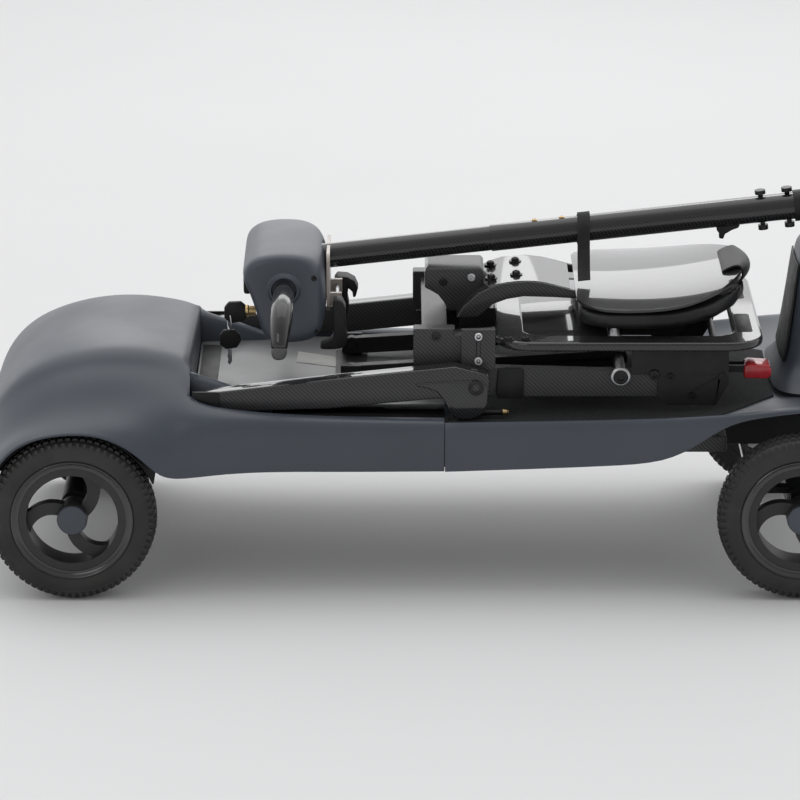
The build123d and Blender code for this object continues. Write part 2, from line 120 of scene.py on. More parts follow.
def grained(name, dark, light, rough, scale=30.0, grain=900.0, strength=0.25, depth=0.0004, **more):
    """A moulded or painted finish: drifting colour, patchy sheen and a fine grain."""
    mat, tree, shader, place = new_finish(name, rough, **more)
    mottled(tree, shader, place, dark, light, scale)
    patch = node_link(tree, "ShaderNodeTexNoise", in_0=place, in_2=scale * 1.7, in_3=3.0)
    sheen = node_link(tree, "ShaderNodeMapRange", in_0=patch.outputs["Fac"], in_1=0.3, in_2=0.7,
        in_3=rough * 0.88, in_4=rough * 1.12)
    tree.links.new(sheen.outputs[0], shader.inputs["Roughness"])
    fine = node_link(tree, "ShaderNodeTexNoise", in_0=place, in_2=grain, in_3=2.0)
    bumped(tree, shader, fine.outputs["Fac"], strength, depth)
    return mat


STUDIO_REACH = 60
bpy.ops.mesh.primitive_plane_add(size=STUDIO_REACH)
floor = bpy.context.object
floor.name = "studio_floor"
floor.data.materials.append(grained("floor_paper", (0.70, 0.70, 0.70), (0.72, 0.72, 0.72), 0.9, scale=0.6,
    grain=60.0, strength=0.03))

world = bpy.data.worlds.new("studio_air")
world.use_nodes = True
air = world.node_tree
backdrop = air.nodes["Background"]
backdrop.inputs["Color"].default_value = (0.985, 0.99, 1.0, 1)
# the room is bright behind the scooter and darker in front of it
air_way = node_link(air, "ShaderNodeSeparateXYZ",
    in_0=air.nodes.new("ShaderNodeTexCoord").outputs["Generated"])
air_level = node_link(air, "ShaderNodeMapRange", in_0=air_way.outputs[1], in_1=-0.75, in_2=0.15, in_3=0.42,
    in_4=1.12)
air.links.new(air_level.outputs[0], backdrop.inputs["Strength"])
scene.world = world
scene.view_settings.view_transform = "Standard"


def soft_light(name, place, aim, width, height, power):
    """A large soft box that looks at a point."""
    bpy.ops.object.light_add(type="AREA", location=place)
    lamp = bpy.context.object
    lamp.name = name
    lamp.data.shape = "RECTANGLE"
    lamp.data.size, lamp.data.size_y = width, height
    lamp.data.energy = power
    lamp.rotation_euler = (Vector(aim) - Vector(place)).to_track_quat("-Z", "Y").to_euler()


soft_light("overhead_box", (0, 0.5, 2.6), (0, 0, 0.2), 3.4, 2.2, 14)
soft_light("back_box", (0.3, 3.2, 1.9), (0, 0, 0.2), 3.0, 1.4, 15)
soft_light("near_box", (-1.6, -3.2, 1.9), (0, 0, 0.2), 1.8, 1.2, 9)


# ------------------ carbon
# Most of the frame is carbon fibre in epoxy: a 2 x 2 twill of fine tows under a clear coat, polished
# on the tubes and trays and left satin on the box arms.
def carbon(name, gloss, tow, painted_tow_sheen):
    """Twill: floor(a) + floor(b) tells which tow is on top, and each tow is round across its width.
    Its colour is painted sheen and shade: where the warp lies on top it is painted lighter, and each tow is
    painted lighter at its crown than at its edges.
    """
    mat, tree, shader, place = new_finish(name, 0.24 if gloss else 0.38, coat=1.0 if gloss else 0.3,
        coat_rough=0.03 if gloss else 0.3, spec=0.12 if gloss else 0.3)

    def calc(operation, *values):
        node = tree.nodes.new("ShaderNodeMath")
        node.operation = operation
        for socket, value in zip(node.inputs, values):
            fed(tree, socket, value)
        return node.outputs[0]

    axes = node_link(tree, "ShaderNodeSeparateXYZ", in_0=place)
    along = calc("DIVIDE", axes.outputs[0], tow)
    across = calc("DIVIDE", calc("ADD", axes.outputs[1], axes.outputs[2]), tow)
    cell = calc("ADD", calc("FLOOR", along), calc("FLOOR", across))
    warp = calc("LESS_THAN", calc("FLOORED_MODULO", cell, 4.0), 1.5)
    round_warp = calc("SINE", calc("MULTIPLY", calc("FRACT", across), math.pi))
    round_weft = calc("SINE", calc("MULTIPLY", calc("FRACT", along), math.pi))
    height = calc("ADD", calc("MULTIPLY", warp, round_warp), calc("MULTIPLY", calc("SUBTRACT", 1.0, warp),
        round_weft))
    # painted sheen and shade: the warp tows lighter than the weft, and each tow lighter along its crown
    # than at its edges
    shade = calc("ADD", calc("MULTIPLY", height, 0.45), calc("MULTIPLY", warp, 0.55))
    colour = ramped(tree, shade, ((0.004, 0.004, 0.005), (painted_tow_sheen, painted_tow_sheen, painted_tow_sheen * 1.03)))
    tree.links.new(colour, shader.inputs["Base Color"])
    bumped(tree, shader, height, 0.05 if gloss else 0.35, 0.0002)
    return mat


CARBON_GLOSS = carbon("carbon_lacquered", True, tow=0.0012, painted_tow_sheen=0.030)
CARBON_SATIN = carbon("carbon_satin", False, tow=0.0013, painted_tow_sheen=0.062)
BLACK_COAT = grained("black_powder_coat", (0.011, 0.011, 0.012), (0.017, 0.017, 0.018), 0.42, grain=1100,
    strength=0.3, spec=0.28)
BLACK_MOULDED = grained("black_moulding", (0.012, 0.012, 0.012), (0.018, 0.018, 0.018), 0.5, grain=1400,
    strength=0.35, spec=0.28)
STEEL = grained("turned_steel", (0.42, 0.42, 0.43), (0.56, 0.56, 0.57), 0.3, metal=1.0, scale=90, grain=700,
    strength=0.12)
DARK_STEEL = grained("black_bolt_steel", (0.02, 0.02, 0.021), (0.035, 0.035, 0.036), 0.32, metal=0.8,
    scale=80, grain=800, strength=0.1)


# ------------------ frame parts that keep their shape
# The welded and machined parts under the shells, the link plates, brackets and shafts: each edge is
# broken by a small bevel, as a deburred or moulded edge is, and each takes its own finish.
TIGHT_GAP = 0.00002


def soften(node, mat, bevel, segments=2):
    """A CAD node keeps its shape. Its edges are broken and it takes a finish."""
    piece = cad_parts[node]
    piece.data.materials.clear()
    piece.data.materials.append(mat)
    weld = piece.modifiers.new("joined", "WELD")
    weld.merge_threshold = TIGHT_GAP
    if bevel:
        edge = piece.modifiers.new("broken_edges", "BEVEL")
        edge.width, edge.segments, edge.limit_method = bevel, segments, "ANGLE"
        edge.angle_limit = math.radians(32)


for mat, bevel, nodes in (
        (CARBON_SATIN, 0.002, "chassis_pan"), (CARBON_SATIN, 0.0008, "link_plates"),
        (CARBON_SATIN, 0.0016, "carrier_left carrier_right seat_crossmember"),
        (CARBON_GLOSS, 0, "tiller_tube"), (BLACK_COAT, 0, "column_tube"),
        (BLACK_COAT, 0.002, "front_subframe"), (BLACK_COAT, 0.0015, "front_link"),
        (BLACK_COAT, 0.0012, "front_axle_beam axle_housing hinge_fork hinge_block"),
        (BLACK_COAT, 0.001, "knuckle_left knuckle_right"), (BLACK_COAT, 0.0006, "link_bracket"),
        (BLACK_COAT, 0.0008, "arm_brackets latch_plates"), (BLACK_MOULDED, 0.003, "battery_pack"),
        (BLACK_MOULDED, 0.0015, "drive_motor"), (STEEL, 0, "column_bearings"),
        (STEEL, 0.001, "motor_controller"), (STEEL, 0.0008, "hinge_pin tie_rod"),
        (STEEL, 0.0006, "steering_stem link_shaft"), (DARK_STEEL, 0.0012, "tiller_bolts"),
        (DARK_STEEL, 0.0004, "stop_bolts")):
    for node in nodes.split():
        soften(node, mat, bevel)

# ------------------ rear shell
# The battery and motor cover, one moulding in slate paint with its side skirts: a domed hood, swept
# wheel arches lined with near-black sheets as painted shade, and a recess where the head and the lift arms
# fold down.
SLATE = grained("slate_paint", (0.048, 0.058, 0.073), (0.055, 0.066, 0.083), 0.38, scale=6, grain=1500,
    strength=0.12, depth=0.0002)
SIDES = ((-1, "right"), (1, "left"))
SHEET_GAP = 0.00005
AXLE_X, AXLE_Z = 430, 100
LINER_R = 105


def on_only(piece):
    """Only this piece is selected and active."""
    bpy.ops.object.select_all(action="DESELECT")
    piece.select_set(True)
    bpy.context.view_layer.objects.active = piece


def applied(piece, kind, **settings):
    """A modifier goes on with its settings and is applied."""
    on_only(piece)
    modifier = piece.modifiers.new("shaping", kind)
    for key, value in settings.items():
        setattr(modifier, key, value)
    bpy.ops.object.modifier_apply(modifier=modifier.name)


def edited(piece, *steps):
    """Each step is an operator and its settings, run on the whole mesh in edit mode."""
    on_only(piece)
    bpy.ops.object.mode_set(mode="EDIT")
    for operator, settings in steps:
        bpy.ops.mesh.select_all(action="SELECT")
        operator(**settings)
    bpy.ops.object.mode_set(mode="OBJECT")


def closed_up(piece, gap=TIGHT_GAP, fill=False):
    """Doubles are merged, open ends filled if asked, and faces turned outwards."""
    edited(piece, (bpy.ops.mesh.remove_doubles, {"threshold": gap}))
    if fill:
        edited(piece, (bpy.ops.mesh.fill_holes, {"sides": 0}))
    edited(piece, (bpy.ops.mesh.normals_make_consistent, {"inside": False}))


def skinned(piece, thickness, offset=-1, levels=0, bevel=0, segments=2, gap=SHEET_GAP):
    """An open sheet is smoothed with its corners kept, given its thickness, and its edges broken."""
    closed_up(piece, gap=gap)
    if levels:
        applied(piece, "SUBSURF", levels=levels, render_levels=levels, boundary_smooth="PRESERVE_CORNERS")
    applied(piece, "SOLIDIFY", thickness=thickness, offset=offset)
    if bevel:
        applied(piece, "BEVEL", width=bevel, segments=segments, limit_method="ANGLE",
                angle_limit=math.radians(50))


def laid_grid(name, rows):
    """A grid primitive laid on rows of points, in millimetres."""
    bpy.ops.mesh.primitive_grid_add(x_subdivisions=len(rows[0]) - 1, y_subdivisions=len(rows) - 1, size=1,
        location=(0, 0, 0))
    piece = bpy.context.object
    piece.name = piece.data.name = name
    for vertex, point in zip(piece.data.vertices, [p for row in rows for p in row]):
        vertex.co = Vector(point) / 1000
    return piece


def joined(name, pieces):
    """Pieces become one mesh."""
    bpy.ops.object.select_all(action="DESELECT")
    for piece in pieces:
        piece.select_set(True)
    bpy.context.view_layer.objects.active = pieces[0]
    if len(pieces) > 1:
        bpy.ops.object.join()
    pieces[0].name = pieces[0].data.name = name
    return pieces[0]


def made(piece, body, mat, slot_name, *nodes, angle=35):
    """A finished piece: smooth by angle, its finish, its body and what it stands for. The slot name is not
    used.
    """
    on_only(piece)
    bpy.ops.object.transform_apply(location=True, rotation=True, scale=True)
    bpy.ops.object.shade_smooth_by_angle(angle=math.radians(angle))
    piece.data.materials.clear()
    piece.data.materials.append(mat)
    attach(piece, body)
    if nodes:
        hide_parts(*nodes)


def both_halves(x, half):
    """A cross-section at x from its (y, z) points on the left, mirrored."""
    left = [(x, y, z) for y, z in half]
    return [(x, -y, z) for y, z in reversed(half) if y > 0] + left


hood_wide = (0, 60, 107, 130, 140, 160, 180, 200, 222, 234)
hood_sections = (
    (-545, (0, 60, 105, 126, 140, 160, 180, 198, 212, 218),
     (150, 150, 149, 147, 145, 142, 139, 136, 133, 130)),
    (-541, (0, 60, 105, 128, 142, 164, 184, 204, 220, 227),
     (182, 182, 181, 178, 172, 163, 155, 149, 142, 134)),
    (-529, (0, 60, 106, 128, 140, 162, 184, 206, 226, 232),
     (214, 214, 213, 209, 199, 187, 176, 167, 159, 148)),
    (-508, hood_wide, (241, 241, 240, 235, 224, 210, 199, 192, 189, 182)),
    (-480, hood_wide, (259, 259, 259, 254, 243, 231, 215, 206, 204, 200)),
    (-440, hood_wide, (273, 273, 273, 269, 258, 249, 231, 217, 213, 208)),
    (-395, hood_wide, (281, 281, 281, 276, 264, 254, 234, 220, 215, 206)),
    (-355, hood_wide, (280, 280, 280, 275, 263, 253, 235, 220, 207, 184.5)),
    (-330, (0, 60, 107, 130, 140, 160, 182, 204, 222, 226),
     (276, 276, 276, 271, 260, 250, 234, 217, 190, 153)),
    (-312, (0, 60, 107, 129, 142, 162, 184, 206, 218, 219),
     (272, 272, 272, 268, 258, 247, 233, 213, 180, 146)),
    (-292, (0, 60, 107, 124, 147, 176, 203, 212, 213, 213),
     (267, 267, 266, 263, 254, 238, 222, 210, 176, 145)))
sill_sections = (
    (-292, (176, 203, 212, 213, 213), (238, 222, 210, 176, 145)),
    (-250, (178, 199, 208, 209, 208), (226, 220, 208, 178, 149)),
    (-190, (178, 198, 205, 206, 205), (217, 217, 207, 180, 151)),
    (-100, (178, 198, 204, 205, 204), (213, 214, 206, 180, 150)),
    (8.6, (178, 198, 204, 205, 204), (212, 212.5, 206, 180, 151)))
hood = laid_grid("rear_shell", [both_halves(x, list(zip(ys, zs))) for x, ys, zs in hood_sections])
walls = [hood]
for side in (-1, 1):
    walls.append(laid_grid("sill", [[(x, side * y, z) for y, z in zip(ys, zs)]
        for x, ys, zs in sill_sections]))
    # the recess: a cheek that tapers down beside the arm slot, and the slot's two walls
    cheek = [[(x, side * y, z) for y, z in ((inner, 207), (inner + 3, ridge), (147, ridge - 2), (147, 205))]
        for x, inner, ridge in ((-292, 120, 256), (-266, 122, 247), (-232, 125, 235), (-196, 128, 220))]
    walls.append(laid_grid("cheek", cheek))
    drop = [[(x, side * (176.5 if x < -280 else 178), z) for x, z in
             ((-292, 238), (-250, 226), (-190, 217), (-100, 213), (8.3, 212))],
            [(x, side * 177, 203) for x in (-292, -250, -190, -100, 8.3)]]
    walls.append(laid_grid("slot_wall", drop))
recess_y = (-124, -107, -60, 0, 60, 107, 124)
walls.append(laid_grid("recess_wall", [
    [(-292, y, z) for y, z in zip(recess_y, (263, 266, 267, 267, 267, 266, 263))],
    [(-291.4, y, 238) for y in recess_y], [(-291, y, 209) for y in recess_y]]))
hood = joined("rear_shell", walls)
skinned(hood, 0.0034, levels=2, bevel=0.0009, gap=0.0006)
made(hood, "chassis", SLATE, "slate_shell", "rear_hood", "rear_skirts")
ARCH_SHADE_AND_SEAM_BLACK = grained("arch_shade_and_seam_black", (0.006, 0.006, 0.006), (0.010, 0.010, 0.010), 0.8, scale=20, grain=500,
    spec=0.2)
# painted shade: near-black sheets under each arch and behind the wheel stand in for the shade inside the
# arch
arch_turns = [math.radians(turn) for turn in range(-66, 67, 6)]
for side, label in SIDES:
    rim_line = [(-AXLE_X + LINER_R * math.sin(a), AXLE_Z + LINER_R * math.cos(a)) for a in arch_turns]
    arch = [[(x, side * y, z) for y in (176, 190, 210, 226)] for x, z in rim_line]
    back = [[(x, side * 176, height) for height in (z, 143)] for x, z in rim_line]
    liner = joined(f"wheelhouse_{label}", [laid_grid("arch", arch), laid_grid("back", back)])
    skinned(liner, 0.0018, offset=0)
    made(liner, "chassis", ARCH_SHADE_AND_SEAM_BLACK, "black_plastic")
    # painted shade: a near-black floor under each arm slot; the seam flange below is a dark joint
    y0, y1 = sorted((side * 128, side * 177))
    well = laid_grid(f"arm_well_{label}", [[(x, y, 204) for y in (y0, (y0 + y1) / 2, y1)]
        for x in (-296, -150, 9)])
    skinned(well, 0.0018, offset=0)
    made(well, "chassis", ARCH_SHADE_AND_SEAM_BLACK, "black_plastic")
    flange = laid_grid(f"seam_flange_{label}", [
        [(x, side * y, z) for y, z in ((176, 207), (196, 208.5), (200.6, 204), (201.4, 180), (200.6, 156))]
        for x in (3, 15)])
    skinned(flange, 0.0016, offset=0)
    made(flange, "chassis", ARCH_SHADE_AND_SEAM_BLACK, "black_plastic")

# ------------------ front shell
# The foot deck's moulding in the same slate paint: level between the sills, kicked up and arched over
# the front wheels, with a 3 mm seam to the rear shell.
deck_half = (0, 90, 150, 186, 197, 203, 205, 205)
deck_sections = (
    (9.2, (200, 200, 200, 201, 211, 209, 180, 151)), (100, (200, 200, 200, 201, 213, 210, 182, 154)),
    (200, (200, 200, 200, 201, 215, 212, 186, 158)), (270, (200, 200, 200, 203, 217, 214, 190, 162)),
    (310, (200, 200, 201, 206, 219, 217, 203, 186)), (345, (202, 202, 204, 211, 221, 220, 216, 211)),
    (385, (206, 207, 212, 220, 225, 224, 221, 218)), (430, (210, 212, 220, 228, 230, 229, 227, 224)),
    (480, (210, 212, 222, 229, 231, 230, 228, 225)), (520, (205, 207, 214, 219, 221, 220, 218, 214)),
    (542, (190, 191, 193, 195, 196, 195, 193, 190)))
deck = laid_grid("front_shell_moulding", [both_halves(x, list(zip(deck_half, zs)))
    for x, zs in deck_sections])
skinned(deck, 0.0032, levels=2, bevel=0.0009)
made(deck, "chassis", SLATE, "slate_shell", "front_shell", "front_fender")

# ------------------ foot mat
# A flecked rubber mat, 3 mm thick, glued on the deck from the seam to the foot of the cowl.
MAT_RUBBER, mat_tree, mat_shader, mat_place = new_finish("flecked_mat_rubber", 0.88)
fleck = node_link(mat_tree, "ShaderNodeTexVoronoi", in_0=mat_place, in_2=620.0)
fleck_colour = ramped(mat_tree, fleck.outputs["Distance"], ((0.052, 0.054, 0.057), (0.014, 0.015, 0.016)),
    (0, 0.55))
mat_tree.links.new(fleck_colour, mat_shader.inputs["Base Color"])
bumped(mat_tree, mat_shader, fleck.outputs["Distance"], 0.5, 0.0005)
mat_rows = []
for x, half, middle, edge in ((15, 184, 203, 203), (30, 186, 203, 203), (120, 186, 203, 203),
        (200, 186, 203, 204), (270, 185, 203, 204.5), (310, 178, 203, 206), (345, 148, 205, 207),
        (385, 112, 209.5, 211), (404, 94, 211.5, 213)):
    mat_rows.append([(x, half * share, middle + (edge - middle) * abs(share) ** 3)
        for share in (-1, -0.97, -0.8, -0.45, 0, 0.45, 0.8, 0.97, 1)])
mat_piece = laid_grid("foot_mat", mat_rows)
skinned(mat_piece, 0.0028, bevel=0.0009)
made(mat_piece, "chassis", MAT_RUBBER, "mat_rubber", "deck_mat")

# ------------------ wheels
# Solid rubber tyres with square shoulder lugs, on cast rims with three swept spokes. The rim's face is
# satin, its outer lip is glossy, and a slate cap snaps over each hub.
def turned(name, profile, centre, steps=96, side=1):
    """A closed profile of (y, radius) points in millimetres, turned about an axle along y, on a side."""
    rows = []
    for step in range(steps + 1):
        angle = 2 * math.pi * step / steps
        rows.append([(centre[0] + r * math.sin(angle), side * y, centre[1] + r * math.cos(angle))
            for y, r in profile + profile[:1]])
    piece = laid_grid(name, rows)
    closed_up(piece)
    return piece


TYRE_RUBBER = grained("tyre_rubber", (0.016, 0.015, 0.0145), (0.026, 0.0245, 0.0235), 0.62, scale=24,
    grain=520, strength=0.3, depth=0.0005)
RIM_SATIN = grained("rim_satin_black", (0.017, 0.0165, 0.016), (0.024, 0.0235, 0.023), 0.5, scale=14,
    grain=900, strength=0.2)
RIM_LIP = grained("rim_lip_gloss", (0.008, 0.008, 0.008), (0.012, 0.012, 0.012), 0.2, scale=14, grain=600,
    strength=0.05, coat=0.8)
TYRE_OUT = 235
LUGS_ROUND = 70
LUG_TAPER = 0.82
tyre_wall = ((-2.5, 71.2), (-0.6, 74), (0, 80), (-0.6, 86), (-1.6, 88.2), (-1.4, 89.6), (-4.2, 93.4),
    (-10, 96.2), (-22.5, 97.6), (-35, 96.2), (-40.8, 93.4), (-43.6, 89.6), (-43.4, 88.2), (-44.4, 86),
    (-45, 80), (-44.4, 74), (-42.5, 71.2), (-22.5, 71.2))
# each row of lugs: its y and radius, a lug's width, height and length, and how far the row is set forward
lug_rows = ((-3.7, 93.0, 4.6, 5.6, 4.4, 0), (-41.3, 93.0, 4.6, 5.6, 4.4, 0),
            (-13.5, 97.0, 8.4, 3.6, 6.6, 5), (-31.5, 97.0, 8.4, 3.6, 6.6, 5),
            (-22.5, 97.9, 7.2, 3.8, 6.6, 0))
for end, wheel_x in (("front", AXLE_X), ("rear", -AXLE_X)):
    for side_name, side in (("left", 1), ("right", -1)):
        body = f"wheel_{end}_{side_name}"
        centre = (wheel_x, AXLE_Z)
        tyre = turned("tyre_wall", [(TYRE_OUT + y, r) for y, r in tyre_wall], centre, steps=120, side=side)
        lugs = []
        for y, r, width, height, long, lead in lug_rows:
            bpy.ops.mesh.primitive_cube_add(size=1, location=(0, 0, 0))
            lug = bpy.context.object
            edited(lug, (bpy.ops.transform.resize, {"value": (long / 1000, width / 1000, height / 1000)}))
            for vertex in lug.data.vertices:
                if vertex.co.z > 0:
                    vertex.co.x *= LUG_TAPER
                    vertex.co.y *= LUG_TAPER
                vertex.co += Vector((wheel_x + lead, side * (TYRE_OUT + y), AXLE_Z + r - 0.4)) / 1000
            lugs.append(lug)
        tread = joined("tread_lugs", lugs)
        edited(tread, (bpy.ops.mesh.spin, {
            "steps": LUGS_ROUND - 1, "dupli": True, "angle": 2 * math.pi * (LUGS_ROUND - 1) / LUGS_ROUND,
            "center": (wheel_x / 1000, 0, AXLE_Z / 1000), "axis": (0, 1, 0)}))
        tyre = joined(f"tyre_{end}_{side_name}_tread", [tyre, tread])
        made(tyre, body, TYRE_RUBBER, "tyre_rubber", f"tyre_{end}_{side_name}", angle=28)

        soften(f"rim_{end}_{side_name}", RIM_SATIN, 0.0016, 3)
        lip = turned(f"rim_{end}_{side_name}_lip", ((230.6, 62.6), (231.6, 63.2), (231.3, 64.2),
            (231.8, 66.4), (233.2, 69), (234.7, 70.4), (234.9, 71.1), (234.4, 71.9), (232.6, 72.2),
            (230.6, 71.6)), centre, side=side)
        made(lip, body, RIM_LIP, "rim_black")
        cap = turned(f"rim_{end}_{side_name}_hub_cap", ((230, 0.01), (230, 17.2), (231.4, 17.6),
            (234.6, 17.4), (235.8, 16.4), (236.2, 14.6), (236.5, 7), (236.6, 0.01)), centre, steps=48,
            side=side)
        made(cap, body, SLATE, "slate_shell")

# ------------------ cowl
# The slate moulding that hides the steering column: flared at its foot, closed round the stem at its
# top. A black panel on the side that faces the rider is painted shade for that side.
def squared_ring(x_rear, x_front, half, z, count=32, power=0.42):
    """A rounded rectangle at height z."""
    middle, reach = (x_rear + x_front) / 2, (x_front - x_rear) / 2
    ring = []
    for step in range(count + 1):
        angle = 2 * math.pi * step / count
        c, s = math.cos(angle), math.sin(angle)
        ring.append((middle + reach * math.copysign(abs(c) ** power, c),
            half * math.copysign(abs(s) ** power, s), z))
    return ring


cowl_levels = ((405, 545, 112, 216), (409, 543, 104, 222), (417, 540, 78, 234), (421, 536, 70, 248),
    (424, 532, 65, 265), (429, 524, 61, 300), (434, 516, 57, 342), (437, 512, 54, 366), (441, 509, 51, 375),
    (449, 503, 44, 380), (460, 500, 32, 381.5))
cowl_rows = [squared_ring(*level) for level in cowl_levels]
cowl_rows.append(squared_ring(472, 508, 18, 381.5, power=1.0))
cowl_rows.append(squared_ring(472.6, 507.4, 17.4, 374, power=1.0))
cowl = laid_grid("front_cowl_moulding", cowl_rows)
closed_up(cowl, gap=SHEET_GAP)
applied(cowl, "SUBSURF", levels=1, render_levels=1)
applied(cowl, "SOLIDIFY", thickness=0.0026, offset=-1)
made(cowl, "chassis", SLATE, "slate_shell", "front_cowl", angle=40)
# painted shade: a black panel over the cowl's rider-facing side, which lies in shade
shade_panel_rows = []
for x_rear, half, z in ((418.5, 56, 242), (421.5, 55, 258), (427.5, 51, 300), (432.5, 47.5, 342),
        (435, 45, 360)):
    shade_panel_rows.append([(x_rear - 2.6 + 2.2 * abs(share) ** 4, half * share, z)
        for share in (-1, -0.96, -0.6, 0, 0.6, 0.96, 1)])
panel = laid_grid("cowl_rear_shade_panel", shade_panel_rows)
skinned(panel, 0.0024, offset=0, levels=1, bevel=0.0007)
made(panel, "chassis", BLACK_MOULDED, "black_plastic")

# ------------------ control head
# The casing in slate paint that carries the grips and the controls: crowned on top, drawn in at its
# two ends, with a flared collar where each grip comes out.
head_outline = ((-205, 277), (-192, 273.6), (-170, 273.4), (-150, 276.5), (-138, 285), (-133.6, 299),
    (-131.4, 318), (-131.4, 340), (-131.8, 360), (-137, 374), (-148, 381.5), (-170, 384), (-192, 384.5),
    (-213, 381.5), (-227, 373), (-232.5, 361), (-230, 349), (-223, 334), (-217, 316), (-211, 294))
head_rows = []
for y, shrink, crown in ((-92, 0.42, 0), (-92, 0.8, 0), (-90.2, 0.92, 0), (-85, 0.985, 0), (-74, 1, 0),
        (-40, 1, 1.2), (0, 1, 1.6), (40, 1, 1.2), (74, 1, 0), (85, 0.985, 0), (90.2, 0.92, 0), (92, 0.8, 0),
        (92, 0.42, 0)):
    ring = []
    for x, z in head_outline + head_outline[:1]:
        lift = crown if z > 370 else 0
        drawn = 11 * max(0, (abs(y) - 45) / 47) ** 2 * (z - 273) / 100 if x > -160 else 0
        ring.append((-180 + (x + 180) * shrink - drawn, y, 330 + (z - 330) * shrink + lift * 0.3))
    head_rows.append(ring)
head = laid_grid("control_head_casing", head_rows)
closed_up(head, gap=SHEET_GAP, fill=True)
applied(head, "SUBSURF", levels=2, render_levels=2)
collars = [head]
for side in (-1, 1):
    collars.append(turned("collar", (
        (88, 23), (90.5, 22.6), (92.4, 20.2), (94, 18.4), (96.6, 17.4), (98, 16.8), (98.3, 15.6),
        (97.4, 14.4), (92, 14), (88, 14)), (-182, 342.5), steps=48, side=side))
head = joined("control_head_casing", collars)
made(head, "tiller", SLATE, "slate_shell", "control_head", angle=50)
for side, label in SIDES:
    for name, centre, radius in (("fixing", (-146, 356), 2.6), ("lower_fixing", (-143, 290), 2.2)):
        plug = turned(f"head_{name}_hole_{label}", ((90.2, 0.01), (91.8, radius * 0.6), (92.1, radius),
            (91.7, radius * 1.25), (89.5, radius * 1.3)), centre, steps=24, side=side)
        made(plug, "tiller", DARK_STEEL, "black_metal")

# ------------------ head plate
# A thin plate over the tube side of the head, held by its two ears, which carry the throttle's shaft. Its
# warm beige is painted warm light falling on that side; the plate is the same plastic as the head.
# painted light: the plate's warm beige stands in for warm light on that side of the head; the dial
# pointer's pale tone is its own
WARM_LIT_PLATE_AND_PALE_POINTER = grained("warm_lit_plate_and_pale_pointer", (0.40, 0.355, 0.32), (0.45, 0.40, 0.36), 0.4, scale=12, grain=700,
    strength=0.12, coat=0.2)
soften("head_plate", WARM_LIT_PLATE_AND_PALE_POINTER, 0.0012, 3)

# ------------------ grips
# Each grip is a lacquered carbon tube, bent down like a bull's horn and capped at a slant with a dark
# rubber plug. It is gripped at the bend, and its far end is bonded into the head.
def swept(path, radii, count=24):
    """Rings of a radius each along a path of points in millimetres that stays square to x."""
    points = [Vector(p) for p in path]
    rows = []
    for index, (point, radius) in enumerate(zip(points, radii)):
        way = (points[min(index + 1, len(points) - 1)] - points[max(index - 1, 0)]).normalized()
        first = Vector((1, 0, 0))
        second = way.cross(first).normalized()
        rows.append([tuple(point + first * radius * math.cos(a) + second * radius * math.sin(a))
            for a in (2 * math.pi * step / count for step in range(count + 1))])
    return rows


GRIP_RUBBER = grained("grip_cap_rubber", (0.05, 0.05, 0.052), (0.07, 0.07, 0.072), 0.55, scale=40,
    grain=900, strength=0.25)
for side, label in SIDES:
    path = [(-182, side * 86, 342.6), (-182, side * 110, 342), (-182, side * 140, 341.4),
            (-182, side * 162, 340), (-182.5, side * 176, 336.5), (-183, side * 187, 330),
            (-184, side * 195, 321), (-184.5, side * 200, 313), (-185, side * 204, 304)]
    rows = swept(path, (12.4, 12.6, 13, 13.4, 13.4, 13, 12.2, 11, 9.8))
    # the tube runs straight down at its end
    rows.append([(x, y, z - 3.5) for x, y, z in rows[-1]])
    grip = laid_grid(f"grip_{label}", rows)
    closed_up(grip, gap=SHEET_GAP, fill=True)
    applied(grip, "SUBSURF", levels=1, render_levels=1)
    made(grip, "tiller", CARBON_GLOSS, "carbon", *(["handles"] if side < 0 else []), angle=60)
    tip = [(-185, side * 203.6, 304.5), (-185.3, side * 206.5, 297), (-185.5, side * 208.2, 292),
           (-185.6, side * 209, 289.5)]
    cap = laid_grid(f"grip_cap_{label}", swept(tip, (10.2, 9.6, 7.8, 4.4)))
    closed_up(cap, gap=SHEET_GAP, fill=True)
    applied(cap, "SUBSURF", levels=1, render_levels=1)
    made(cap, "tiller", GRIP_RUBBER, "grip_rubber", *(["handle_caps"] if side < 0 else []), angle=60)

# ------------------ throttle
# Two moulded thumb paddles clamped on a steel shaft that turns in the plate's ears. The right one has a
# foot that sweeps back under the head, and the left one a pad at its top that leans forward.
def slab(name, outline, y0, y1, bevel=0.0015, segments=3, plane="side"):
    """A flat outline in millimetres, extruded to its thickness, its edges rounded."""
    bpy.ops.mesh.primitive_circle_add(vertices=len(outline), fill_type="NGON", location=(0, 0, 0))
    piece = bpy.context.object
    piece.name = piece.data.name = name
    for vertex, (u, v) in zip(piece.data.vertices, outline):
        vertex.co = Vector((u, y0, v) if plane == "side" else (u, v, y0)) / 1000
    step = (y1 - y0) / 1000
    move = (0, step, 0) if plane == "side" else (0, 0, step)
    edited(piece, (bpy.ops.mesh.extrude_region_move, {"TRANSFORM_OT_translate": {"value": move}}),
           (bpy.ops.mesh.normals_make_consistent, {"inside": False}))
    if bevel:
        applied(piece, "BEVEL", width=bevel, segments=segments, limit_method="ANGLE",
                angle_limit=math.radians(40))
    return piece


